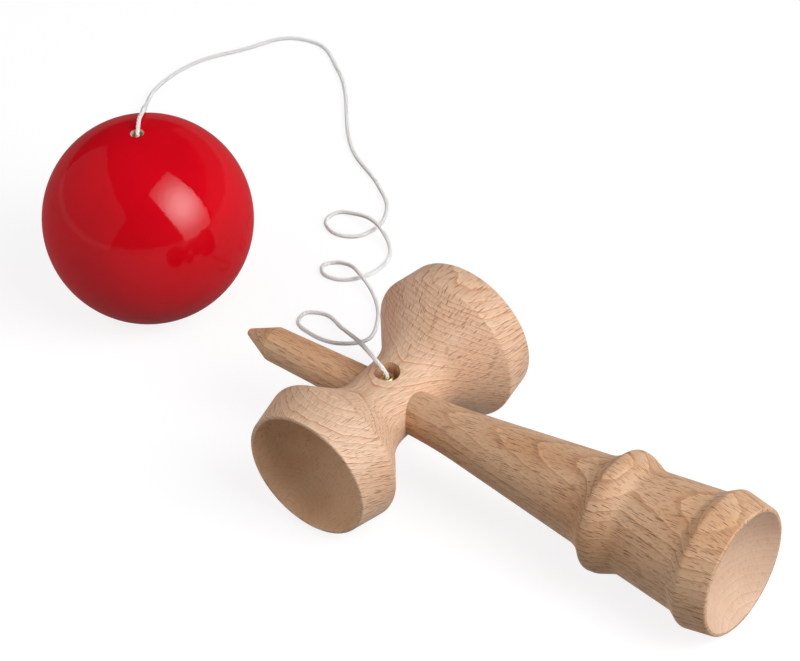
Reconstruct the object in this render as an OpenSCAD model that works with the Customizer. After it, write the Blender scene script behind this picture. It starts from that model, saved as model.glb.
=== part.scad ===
// Cup and ball toy: a turned handle with a spike and a base cup, a cross piece with
// two cups pushed onto it, and a lacquered ball on a string. It lies on a table on its
// three rims, with the ball standing on its spike hole beside the spike.
// Axial places are measured from the crossing of the two turned axes.

/* [Handle] */
// Reach of the spike's tip from the crossing
spike_reach = 48.5; // [42:0.5:60]
// Radius of the blunt tip
tip_round = 1.3; // [0.6:0.1:2]
// Half angle of the tip's cone
tip_half_angle = 24; // [16:1:32]
// Diameter of the spike behind its cone
spike_d = 9.8; // [8:0.1:11]
// Place of the knee where the slim shaft starts to swell
knee_place = 18.6; // [16:0.2:24]
// Diameter at the knee
knee_d = 12.6; // [11.6:0.1:14]
// Place of the cove at the foot of the ring
ring_start = 69; // [64:0.5:72]
// Diameter of the shaft at the foot of the ring
ring_start_d = 25.5; // [22:0.5:28]
// Length of the rise from the cove to the ring's crest
ring_rise = 4.2; // [3:0.2:6]
// Diameter over the ring's crest
ring_d = 33.9; // [31:0.1:37]
// Width of the ring's crest
ring_width = 2.6; // [2.2:0.1:5]
// Diameter where the ring's crest ends
ring_shoulder_d = 33.4; // [31:0.1:36]
// Length of the fall from the ring to the neck
ring_fall = 5.3; // [4:0.1:7]
// Diameter of the neck at its start
neck_start_d = 28.9; // [26:0.1:31]
// Diameter of the neck at the base flange
flange_start_d = 33.5; // [31:0.1:35]
// Length of the cove from the neck to the flange's widest edge
flange_rise = 3.8; // [3:0.1:5]
// Diameter over the flange's widest edge
flange_d = 38.2; // [36:0.1:42]
// Height of the flange from its widest edge to the rim
flange_height = 8.6; // [7:0.1:11]
// Reach of the base rim from the crossing
base_reach = 112.4; // [108:0.2:118]
// Outer diameter of the base rim
base_rim_d = 35.4; // [34.4:0.1:37]
// Diameter of the base cup's mouth
base_mouth_d = 33.4; // [28:0.2:33.6]
// Depth of the base cup
base_cup_depth = 7; // [5:0.5:10]

/* [Cross piece] */
// Diameter of the waist
waist_d = 20.7; // [18:0.1:24]
// Radius of the curve from the waist into each flank
waist_curve = 15.7; // [8:0.1:16]
// Place where the small cup's flank would leave the waist
small_flank_start = 10.7; // [9:0.1:13]
// Place of the small cup's shoulder
small_shoulder = 24; // [22:0.1:27]
// Diameter over the small cup's shoulder, before rounding
small_shoulder_d = 41.9; // [38:0.1:44]
// Reach of the small cup's rim from the crossing
small_reach = 35.2; // [32:0.1:40]
// Outer diameter of the small cup's rim
small_rim_d = 37.4; // [36.6:0.1:41]
// Diameter of the small cup's mouth
small_mouth_d = 35.4; // [30:0.2:35.6]
// Depth of the small cup
small_cup_depth = 15; // [9:0.5:17]
// Place where the big cup's flank would leave the waist
big_flank_start = 10.5; // [9:0.1:13]
// Place of the big cup's shoulder
big_shoulder = 25; // [23:0.1:27]
// Diameter over the big cup's shoulder, before rounding
big_shoulder_d = 44.5; // [41:0.1:48]
// Reach of the big cup's rim from the crossing
big_reach = 35.3; // [32:0.1:40]
// Outer diameter of the big cup's rim
big_rim_d = 41.4; // [40.4:0.1:44]
// Diameter of the big cup's mouth
big_mouth_d = 39.2; // [33:0.2:39.4]
// Depth of the big cup
big_cup_depth = 14; // [8:0.5:17]
// Rounding of both shoulders
shoulder_round = 1.5; // [0.8:0.1:2.5]
// Rounding of the cups' rims
rim_round = 0.45; // [0.2:0.05:0.5]
// Diameter of the string hole through the waist
waist_hole_d = 7.2; // [5:0.1:8]
// Gap all round between the handle and the cross piece's tapered bore
seat_gap = 0.04; // [0.02:0.01:0.1]

/* [Ball] */
// Diameter of the ball
ball_d = 60; // [54:1:66]
// Diameter of the spike hole
spike_hole_d = 17; // [14:0.5:19]
// Diameter of the spike hole's bevelled mouth
spike_mouth_d = 22.4; // [20:0.2:24]
// Length of the spike hole's straight wall
spike_hole_wall = 39; // [30:0.5:40]
// Diameter of the string hole in the top of the ball
ball_string_hole_d = 2.9; // [2.7:0.1:4.5]
// Bevel at the string hole's edge
string_hole_bevel = 0.5; // [0.4:0.1:0.8]
// Distance of the ball's centre from the crossing, along the handle past the spike
ball_along = 100; // [90:1:110]
// Distance of the ball's centre from the crossing, across the handle
ball_across = 18; // [10:1:26]

/* [String] */
// Diameter of the string
string_d = 1.5; // [1.2:0.1:1.6]
// Radius of the string's own loop in each stopper knot
knot_loop = 0.95; // [0.8:0.05:1.1]
// Radius of the rounded strand of each stopper knot
knot_round = 1.3; // [1.1:0.05:1.4]
// Length of the loose tail below each stopper knot
tail = 1.6; // [1:0.1:2.5]
// Diameter of the bead in the ball
bead_d = 8; // [7:0.1:9]
// Diameter of the hole in the bead
bead_hole_d = 2.2; // [2:0.1:2.5]
// Gap at each loose seat of the bead and the knots
seat = 0.3; // [0.2:0.05:0.4]

/* [Eyelet] */
// Outer diameter of the brass eyelet's barrel
eyelet_d = 2.9; // [2.6:0.1:3.4]
// Bore of the eyelet
eyelet_bore_d = 2.1; // [1.9:0.1:2.3]
// Height of the eyelet's rolled rim above the crossing
eyelet_rim_height = 8; // [6.6:0.1:8.4]
// Radius of the rolled rim's section
eyelet_roll = 0.4; // [0.3:0.05:0.5]
// Depth that the barrel reaches into the handle below the rim
eyelet_length = 7; // [4:0.5:9]
// Gap all round between the eyelet and the handle's string hole
eyelet_gap = 0.03; // [0.01:0.01:0.1]

/* [Hidden] */
$fn = 96;
arc_steps = 7;
past = 1;

// Roundings of the handle's corners
spike_edge_round = 0.6;
knee_round = 147;
ring_cove = 9;
ring_edge_round = 1.6;
ring_fall_round = 5;
neck_cove = 5;
flange_cove = 4;
flange_edge_round = 2;
base_edge_round = 0.6;
// Half angle of the drilled end of the spike hole
drill_half_angle = 59;

// Direction and turning at a corner b between a and c
function unit(v) = v / norm(v);
function turn(a, b, c) = acos(max(-1, min(1, unit(b - a) * unit(c - b))));
// Centre of the arc that rounds the corner b
function round_centre(a, b, c, r) = b + unit(unit(a - b) + unit(c - b)) * r / cos(turn(a, b, c) / 2);
// Points of the arc that rounds the corner b, from the side of a to the side of c
function round_arc(a, b, c, r) =
    let (o = round_centre(a, b, c, r),
         reach = r * tan(turn(a, b, c) / 2),
         from = b + unit(a - b) * reach - o,
         to = b + unit(c - b) * reach - o,
         span = turn([0, 0], from, from + to))
    [for (i = [0:arc_steps])
        o + (from * sin(span * (1 - i / arc_steps)) + to * sin(span * i / arc_steps)) / sin(span)];
// An outline of [radius, place, rounding] corners, with its two ends kept sharp
function xy(p) = [p[0], p[1]];
function outline(c) = [
    xy(c[0]),
    for (i = [1:len(c) - 2]) each round_arc(xy(c[i - 1]), xy(c[i]), xy(c[i + 1]), c[i][2]),
    xy(c[len(c) - 1])
];
function corner_centre(c, i) = round_centre(xy(c[i - 1]), xy(c[i]), xy(c[i + 1]), c[i][2]);

// Radius and centre of the ball-shaped hollow of a cup
function hollow_r(mouth_d, depth) = (pow(mouth_d / 2, 2) + pow(depth, 2)) / (2 * depth);

// Places along the handle: the ring is set from its foot, and the flange from the base rim
ring_crest = ring_start + ring_rise;
ring_shoulder = ring_crest + ring_width;
neck_start = ring_shoulder + ring_fall;
flange_crest = base_reach - flange_height;
flange_start = flange_crest - flange_rise;

// Handle's corners from the tip's cone to the base cup
tip_centre = tip_round - spike_reach;
cone_start = [tip_round * cos(tip_half_angle), tip_centre - tip_round * sin(tip_half_angle)];
cone_end = cone_start[1] + (spike_d / 2 - cone_start[0]) / tan(tip_half_angle);
ken_corners = [
    concat(cone_start, [0]),
    [spike_d / 2, cone_end, spike_edge_round],
    [knee_d / 2, knee_place, knee_round],
    [ring_start_d / 2, ring_start, ring_cove],
    [ring_d / 2, ring_crest, ring_edge_round],
    [ring_shoulder_d / 2, ring_shoulder, ring_fall_round],
    [neck_start_d / 2, neck_start, neck_cove],
    [flange_start_d / 2, flange_start, flange_cove],
    [flange_d / 2, flange_crest, flange_edge_round],
    [base_rim_d / 2, base_reach, base_edge_round],
    [base_mouth_d / 2 - past, base_reach, 0]
];
flange_corner = 8;

// Cross piece's corners from the small cup's mouth to the big cup's
sarado_corners = [
    [small_mouth_d / 2 - past, -small_reach, 0],
    [small_rim_d / 2, -small_reach, rim_round],
    [small_shoulder_d / 2, -small_shoulder, shoulder_round],
    [waist_d / 2, -small_flank_start, waist_curve],
    [waist_d / 2, big_flank_start, waist_curve],
    [big_shoulder_d / 2, big_shoulder, shoulder_round],
    [big_rim_d / 2, big_reach, rim_round],
    [big_mouth_d / 2 - past, big_reach, 0]
];
small_corner = 2;
big_corner = 5;

// The pose at rest: both shoulders and the flange's edge touch the table
small_touch = corner_centre(sarado_corners, small_corner);
big_touch = corner_centre(sarado_corners, big_corner);
base_touch = corner_centre(ken_corners, flange_corner);
cross_slope = atan2(big_touch[0] - small_touch[0], big_touch[1] - small_touch[1]);
cross_height = big_touch[0] * cos(cross_slope) + shoulder_round - big_touch[1] * sin(cross_slope);
base_drop = cross_height - flange_edge_round;
handle_slope = atan2(base_touch[1], base_touch[0]) - acos(base_drop / norm(base_touch));
cross_roll = asin(sin(cross_slope) / cos(handle_slope));

// The crossing and the ball stand so that the toy's box is centred on the origin
base_far = base_reach * cos(handle_slope) + base_rim_d / 2 * sin(handle_slope);
small_far = small_reach * cos(cross_roll) + small_rim_d / 2 * sin(cross_roll);
cross_x = (ball_along + ball_d / 2 - base_far) / 2;
cross_y = (small_far - ball_across - ball_d / 2) / 2;
mouth_z = -sqrt(pow(ball_d, 2) - pow(spike_mouth_d, 2)) / 2;
ball_place = [cross_x - ball_along, cross_y + ball_across, -mouth_z];

// The ball's hollow, from its centre
wall_start = mouth_z + (spike_mouth_d - spike_hole_d) / 2;
wall_end = wall_start + spike_hole_wall;
drill_apex = wall_end + spike_hole_d / 2 / tan(drill_half_angle);
string_hole_start = drill_apex - ball_string_hole_d / 2 / tan(drill_half_angle);
string_hole_top = sqrt(pow(ball_d, 2) - pow(ball_string_hole_d, 2)) / 2;
// The string starts to lean this far down its hole
lean_depth = 2;
ball_exit_height = ball_d / 2 - lean_depth;

// The bead hangs under the drilled end, and the ball's knot under the bead
bead_place = drill_apex - (bead_d / 2 + seat) / sin(drill_half_angle);
bead_foot = bead_place - sqrt(pow(bead_d, 2) - pow(bead_hole_d, 2)) / 2;
ball_knot_place = bead_foot - seat - knot_round;

// The handle's knot sits under the handle, inside the waist's string hole
seat_slope = (knee_d - spike_d) / 2 / (knee_place - cone_end);
function shaft_r(place) = spike_d / 2 + seat_slope * (place - cone_end);
handle_knot_place = -shaft_r(0) - seat - knot_round;
handle_end_top = eyelet_rim_height;

// Places in the lying toy, from places at its own crossing
function lie(p) =
    let (a = [p[0], p[1] * cos(cross_roll) - p[2] * sin(cross_roll), p[1] * sin(cross_roll) + p[2] * cos(cross_roll)])
    [cross_x + a[0] * cos(handle_slope) + a[2] * sin(handle_slope),
     cross_y + a[1],
     cross_height - a[0] * sin(handle_slope) + a[2] * cos(handle_slope)];

// The string's route over the table, from the waist hole to the ball: over the waist and down behind
// the spike, three loose loops that cross over themselves, a wide bend, and up over the ball's back
route = [
    [7.2, -6.4, 32.3], [5.1, -5.7, 32.8], [1.8, -3.6, 31.7], [-2.4, 0.4, 27.8], [-15.4, 12, 17], [-25.5, 21.5, 7.5],
    [-36, 28, 2], [-46, 31, 0.8], [-50, 28.4, 0.8], [-49.4, 24.6, 0.8], [-43, 22.2, 0.8], [-32.5, 24, 0.8],
    [-28, 29, 0.8], [-30.5, 37, 0.8], [-38, 45, 1.8], [-45.5, 48.6, 3.4], [-53, 51.9, 1.8], [-57.2, 51.6, 0.8],
    [-59.4, 48.8, 0.8], [-57.6, 45.8, 0.8], [-53, 45.4, 0.8], [-45.4, 53.5, 0.8], [-46.5, 63.5, 0.8], [-54.5, 69.2, 3.4],
    [-66.5, 72, 1.6], [-71.6, 70.4, 0.8], [-72.2, 66, 0.8], [-67.5, 62.4, 0.8], [-60, 64.5, 0.8], [-57.5, 72, 0.8],
    [-60.5, 80, 0.8], [-69.5, 87.5, 0.8], [-84.5, 95.5, 0.8], [-117.5, 128, 0.8], [-131.5, 135.5, 0.8],
    [-141, 133, 0.8], [-149, 120.5, 0.8], [-157, 107, 0.8], [-158.5, 89, 1], [-149, 72, 4], [-134, 56, 14],
    [-119, 42.5, 30], [-107.5, 31, 47.4], [-101, 25.4, 54.6], [-95.8, 19, 58.5], [-92.85, 14.5, 59.6]
];
// Gap between the free string's ends and the stretches inside the handle and the ball
face_gap = 0.1;
// Straight run out of each hole
straight = 0.4;
string_sides = 8;
ring_spacing = 5;
least_steps = 2;
handle_exit = lie([0, 0, handle_end_top + face_gap]);
handle_up = lie([0, 0, handle_end_top + face_gap + straight]);
ball_exit = ball_place + [0, 0, ball_exit_height + face_gap];
ball_up = ball_exit + [0, 0, straight];
knots = concat([handle_exit, handle_up], route, [ball_up, ball_exit]);
last = len(knots) - 1;

// A smooth line through the points, that never dips under the table
function ahead(i) =
    let (back = knots[i] - knots[max(i - 1, 0)], on = knots[min(i + 1, last)] - knots[i])
    i == 0 ? unit(on) : i == last ? unit(back) : unit(unit(back) * norm(on) + unit(on) * norm(back));
function above(p) = [p[0], p[1], max(p[2], string_d / 2)];
function between(i, u) =
    let (d = norm(knots[i + 1] - knots[i]))
    above((1 + 2 * u) * pow(1 - u, 2) * knots[i] + u * pow(1 - u, 2) * d * ahead(i)
        + u * u * (3 - 2 * u) * knots[i + 1] + u * u * (u - 1) * d * ahead(i + 1));
function steps(i) = max(least_steps, round(norm(knots[i + 1] - knots[i]) / ring_spacing));
line = [for (i = [0:last - 1]) for (k = [0:steps(i) - 1]) between(i, k / steps(i)), knots[last]];
rings = len(line);

// The string's own length, and the least gap that it keeps to itself away from its neighbours
function run(points) = [for (i = 1, s = 0; i <= len(points);
    s = s + (i < len(points) ? norm(points[i] - points[i - 1]) : 0), i = i + 1) s];
so_far = run(line);
own_gap = min([for (i = [0:rings - 2]) for (k = [i + 2:1:rings - 1])
    if (so_far[k] - so_far[i + 1] > 6 * string_d) near(line[i], line[i + 1], line[k])]) - string_d;
// Distance of a point from a short stretch
function near(a, b, p) =
    let (v = b - a, u = v * v == 0 ? 0 : max(0, min(1, (p - a) * v / (v * v))))
    norm(p - a - u * v);
echo(string_length = so_far[rings - 1], string_least_gap = own_gap);

// Sections of the string, carried along without twisting
function tangent(i) = unit(line[min(i + 1, rings - 1)] - line[max(i - 1, 0)]);
function square_to(v, t) = unit(v - t * (v * t));
sides_on = [for (i = 0, n = square_to([1, 0, 0], tangent(0)); i < rings;
    i = i + 1, n = i < rings ? square_to(n, tangent(i)) : n) n];
function section(i) = [for (k = [0:string_sides - 1])
    let (w = cross(tangent(i), sides_on[i]), a = 360 * k / string_sides)
    line[i] + string_d / 2 * (cos(a) * sides_on[i] + sin(a) * w)];

module lying() {
    translate([cross_x, cross_y, cross_height])
        rotate([0, handle_slope, 0])
        rotate([cross_roll, 0, 0])
        children();
}

// A turned solid from its outline, closed on the axis, less the flat shapes of its hollows
module turned(points) {
    rotate_extrude()
        difference() {
            polygon(concat([[0, points[0][1]]], points, [[0, points[len(points) - 1][1]]]));
            children();
        }
}

// The handle: spike, tapered seat, swelling shaft, ring, neck and base cup, turned in one piece
module ken() {
    hollow = hollow_r(base_mouth_d, base_cup_depth);
    color("burlywood") lying()
        difference() {
            rotate([0, 90, 0]) {
                turned(outline(ken_corners))
                    translate([0, base_reach - base_cup_depth + hollow]) circle(hollow);
                translate([0, 0, tip_centre]) sphere(tip_round);
            }
            cylinder(d = eyelet_d + 2 * eyelet_gap, h = waist_d, center = true);
        }
}

// The cross piece: two cups back to back on one waist, with the tapered bore and the string hole
module sarado() {
    small_hollow = hollow_r(small_mouth_d, small_cup_depth);
    big_hollow = hollow_r(big_mouth_d, big_cup_depth);
    color("wheat") lying()
        difference() {
            rotate([-90, 0, 0])
                turned(outline(sarado_corners)) {
                    translate([0, -small_reach + small_cup_depth - small_hollow]) circle(small_hollow);
                    translate([0, big_reach - big_cup_depth + big_hollow]) circle(big_hollow);
                }
            translate([-waist_d, 0, 0])
                rotate([0, 90, 0])
                cylinder(r1 = shaft_r(-waist_d) + seat_gap, r2 = shaft_r(waist_d) + seat_gap, h = 2 * waist_d);
            cylinder(d = waist_hole_d, h = 2 * waist_d, center = true);
        }
}

// The brass eyelet in the handle's string hole, with its rolled rim inside the waist hole
module string_eyelet() {
    color("gold") lying()
        translate([0, 0, eyelet_rim_height])
        rotate_extrude()
        difference() {
            union() {
                translate([0, -eyelet_length]) square([eyelet_d / 2, eyelet_length]);
                translate([eyelet_d / 2, 0]) circle(eyelet_roll);
            }
            translate([0, -2 * eyelet_length]) square([eyelet_bore_d / 2, 3 * eyelet_length]);
        }
}

// A stopper knot and the straight stretch of string above it, with its short tail below
module knotted(above_knot) {
    knot_r = knot_loop + knot_round;
    rotate_extrude() {
        translate([0, -knot_round - tail]) square([string_d / 2, above_knot + knot_round + tail]);
        intersection() {
            translate([knot_loop, 0]) circle(knot_round);
            translate([0, -knot_round]) square([knot_r, 2 * knot_round]);
        }
    }
}

module string_handle_end() {
    color("ivory") lying()
        translate([0, 0, handle_knot_place])
        knotted(handle_end_top - handle_knot_place);
}

module string_ball_end() {
    color("ivory") translate(ball_place + [0, 0, ball_knot_place])
        knotted(ball_exit_height - ball_knot_place);
}

// The free string, one tube along its route
module string() {
    points = [for (i = [0:rings - 1]) each section(i)];
    walls = [for (i = [0:rings - 2]) for (k = [0:string_sides - 1])
        let (a = i * string_sides + k, b = i * string_sides + (k + 1) % string_sides)
        each [[a, a + string_sides, b], [b, a + string_sides, b + string_sides]]];
    first_face = [for (k = [1:string_sides - 2]) [0, k, k + 1]];
    last_face = [for (k = [1:string_sides - 2]) (rings - 1) * string_sides * [1, 1, 1] + [0, k + 1, k]];
    color("ivory") polyhedron(points, concat(walls, first_face, last_face));
}

// The wooden bead that carries the ball on the knot and lets it spin
module bead() {
    color("tan") translate(ball_place + [0, 0, bead_place])
        rotate_extrude()
        difference() {
            intersection() {
                circle(d = bead_d);
                translate([0, -bead_d]) square([bead_d, 2 * bead_d]);
            }
            translate([0, -bead_d]) square([bead_hole_d / 2, 2 * bead_d]);
        }
}

// The ball, with its bevelled spike hole below and the string hole on top
module ball() {
    color("crimson") translate(ball_place)
        rotate_extrude()
        difference() {
            intersection() {
                circle(d = ball_d);
                translate([0, -ball_d]) square([ball_d, 2 * ball_d]);
            }
            polygon([
                [0, -ball_d],
                [spike_mouth_d / 2 + past, -ball_d],
                [spike_mouth_d / 2 + past, mouth_z - past],
                [spike_hole_d / 2, wall_start],
                [spike_hole_d / 2, wall_end],
                [ball_string_hole_d / 2, string_hole_start],
                [ball_string_hole_d / 2, string_hole_top - string_hole_bevel],
                [ball_string_hole_d / 2 + string_hole_bevel + past, string_hole_top + past],
                [0, string_hole_top + past]
            ]);
        }
}

ken();
sarado();
string_eyelet();
string_handle_end();
string();
string_ball_end();
bead();
ball();
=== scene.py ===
# Cup and ball toy: turned beech, red lacquer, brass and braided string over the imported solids
import math

import bpy
from mathutils import Matrix, Vector


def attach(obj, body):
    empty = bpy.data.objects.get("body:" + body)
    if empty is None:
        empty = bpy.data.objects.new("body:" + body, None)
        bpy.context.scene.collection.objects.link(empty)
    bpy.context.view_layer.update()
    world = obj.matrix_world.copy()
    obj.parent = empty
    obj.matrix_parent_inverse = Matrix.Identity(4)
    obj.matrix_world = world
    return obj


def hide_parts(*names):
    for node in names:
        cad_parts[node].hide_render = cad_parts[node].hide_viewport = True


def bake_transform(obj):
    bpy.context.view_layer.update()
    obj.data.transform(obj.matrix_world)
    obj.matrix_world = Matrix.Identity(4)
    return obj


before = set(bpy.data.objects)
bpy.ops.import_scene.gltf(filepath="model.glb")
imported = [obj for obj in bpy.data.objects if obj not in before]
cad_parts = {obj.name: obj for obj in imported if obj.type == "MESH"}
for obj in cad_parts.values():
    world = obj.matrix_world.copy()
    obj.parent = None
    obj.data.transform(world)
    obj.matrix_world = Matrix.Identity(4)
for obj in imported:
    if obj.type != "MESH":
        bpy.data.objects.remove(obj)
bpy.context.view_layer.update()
mm = 0.001
fullTurn = 2 * math.pi
print("frame loaded,", len(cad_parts), "nodes")


# Camera of the photograph, fitted to the outlines
cameraView = {
    "place": (0.44521, -0.51526, 0.5982),
    "right": (0.79006, 0.61067, -0.05384),
    "up": (-0.35688, 0.52956, 0.76955),
    "back": (0.49845, -0.58877, 0.63631),
    "lens": 149.46,
    "sensor": 36,
    "nearest": 0.01,
}


def addCamera(view):
    data = bpy.data.cameras.new("photoView")
    data.sensor_width = view["sensor"]
    data.lens = view["lens"]
    data.clip_start = view["nearest"]
    camera = bpy.data.objects.new("photoView", data)
    turn = Matrix((view["right"], view["up"], view["back"])).transposed().to_4x4()
    camera.matrix_world = Matrix.Translation(view["place"]) @ turn
    bpy.context.scene.collection.objects.link(camera)
    bpy.context.scene.camera = camera


addCamera(cameraView)
print("camera set")


# How the toy lies: the crossing of its two turned axes, and the ball beside the spike (mm, degrees)
restPose = {
    "crossing": (8.60513, -6.15749, 21.4837),
    "handleSlope": 1.36501,
    "crossRoll": 1.52441,
    "ball": (-91.3949, 11.8425, 27.8309),
}
toyFrame = (Matrix.Translation(Vector(restPose["crossing"]))
            @ Matrix.Rotation(math.radians(restPose["handleSlope"]), 4, "Y")
            @ Matrix.Rotation(math.radians(restPose["crossRoll"]), 4, "X"))
handleFrame = toyFrame @ Matrix.Rotation(math.radians(90), 4, "Y")
crossFrame = toyFrame @ Matrix.Rotation(math.radians(-90), 4, "X")
ballFrame = Matrix.Translation(Vector(restPose["ball"]))


# Small helpers for node trees
def addNode(tree, kind, inputs=None, **settings):
    made = tree.nodes.new(kind)
    for key, value in settings.items():
        setattr(made, key, value)
    for key, value in (inputs or {}).items():
        if isinstance(value, bpy.types.NodeSocket):
            tree.links.new(value, made.inputs[key])
        else:
            made.inputs[key].default_value = value
    return made


def calc(tree, operation, *values, clamp=False):
    inputs = dict(enumerate(values))
    return addNode(tree, "ShaderNodeMath", inputs, operation=operation, use_clamp=clamp).outputs[0]


def swing(tree, value, reach, onto):
    return calc(tree, "MULTIPLY_ADD", calc(tree, "SUBTRACT", value, 0.5), reach, onto)


def vectorCalc(tree, operation, *values, result=0):
    inputs = dict(enumerate(values))
    return addNode(tree, "ShaderNodeVectorMath", inputs, operation=operation).outputs[result]


def scaled(tree, vector, amount):
    inputs = {0: vector, 3: amount}
    return addNode(tree, "ShaderNodeVectorMath", inputs, operation="SCALE").outputs[0]


def combine(tree, x, y, z):
    return addNode(tree, "ShaderNodeCombineXYZ", {0: x, 1: y, 2: z}).outputs[0]


def ramp(tree, value, low, high, to=(0, 1)):
    made = addNode(tree, "ShaderNodeMapRange", {0: value, 1: low, 2: high, 3: to[0], 4: to[1]})
    made.interpolation_type = "SMOOTHSTEP"
    return made.outputs[0]


def mixColour(tree, amount, first, second, blend="MIX"):
    inputs = {0: amount, 6: first, 7: second}
    return addNode(tree, "ShaderNodeMix", inputs, data_type="RGBA", blend_type=blend).outputs[2]


def toned(tree, colour, tone):
    return mixColour(tree, 1.0, colour, combine(tree, tone, tone, tone), "MULTIPLY")


def noise(tree, place, scale, detail=2.0, roughness=0.5):
    inputs = {"Vector": place, "Scale": scale, "Detail": detail, "Roughness": roughness}
    return addNode(tree, "ShaderNodeTexNoise", inputs).outputs[0]


def groupSockets(tree, inputs, outputs):
    for name, kind, value in inputs:
        socket = tree.interface.new_socket(name, in_out="INPUT", socket_type=kind)
        if value is not None:
            socket.default_value = value
    for name, kind in outputs:
        tree.interface.new_socket(name, in_out="OUTPUT", socket_type=kind)
    return tree.nodes.new("NodeGroupInput").outputs, tree.nodes.new("NodeGroupOutput").inputs


# Figure that all the beech shares: scales are per mm, edges are shares of a year or of a noise
beechFigure = {
    "lathe": 2.4, "latheTone": 0.07, "latheHeight": 0.35,
    "drift": 0.035, "driftReach": 4.5, "wobble": 0.3, "wobbleReach": 0.8, "bendStretch": 0.35,
    "softEdge": (0.3, 0.95), "softShare": 0.4, "darkEdge": (0.76, 0.92), "darkShare": 0.6,
    "yearEnd": (1.0, 0.97), "yearLeast": 0.35, "earlyEdge": (0.22, 0.03), "earlyTone": 0.12,
    "fade": 0.16, "fadeEdge": (0.32, 0.62), "fadeLeast": 0.45, "patchStretch": 0.5,
    "tipSpan": (62.0, 5.0), "tipLightSpan": (-8.0, -20.0), "sway": 0.12, "swayReach": 1.6,
    "longRays": {
        "width": 0.22, "depth": 2.0, "shorter": 1.0, "core": 0.26, "edge": 0.42, "shown": 0.44,
    },
    "fineRays": {
        "width": 0.15, "depth": 1.0, "shorter": 2.0, "core": 0.22, "edge": 0.42, "shown": 0.62,
    },
    "fineShare": 0.7, "rayFade": 0.12, "rayLeast": 0.5, "fleckDepth": -0.8,
    "fibre": (0.16, 0.2, 5.0), "fibreTone": 0.36, "fibreHeight": 0.5,
    "cloud": 0.09, "cloudEdge": (0.35, 0.7), "cloudStretch": 0.3,
    "roughness": 0.46, "fibreRoughness": 0.16, "fleckRoughness": 0.15,
    "bumpHeight": 0.0001, "specular": 0.12,
}
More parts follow.
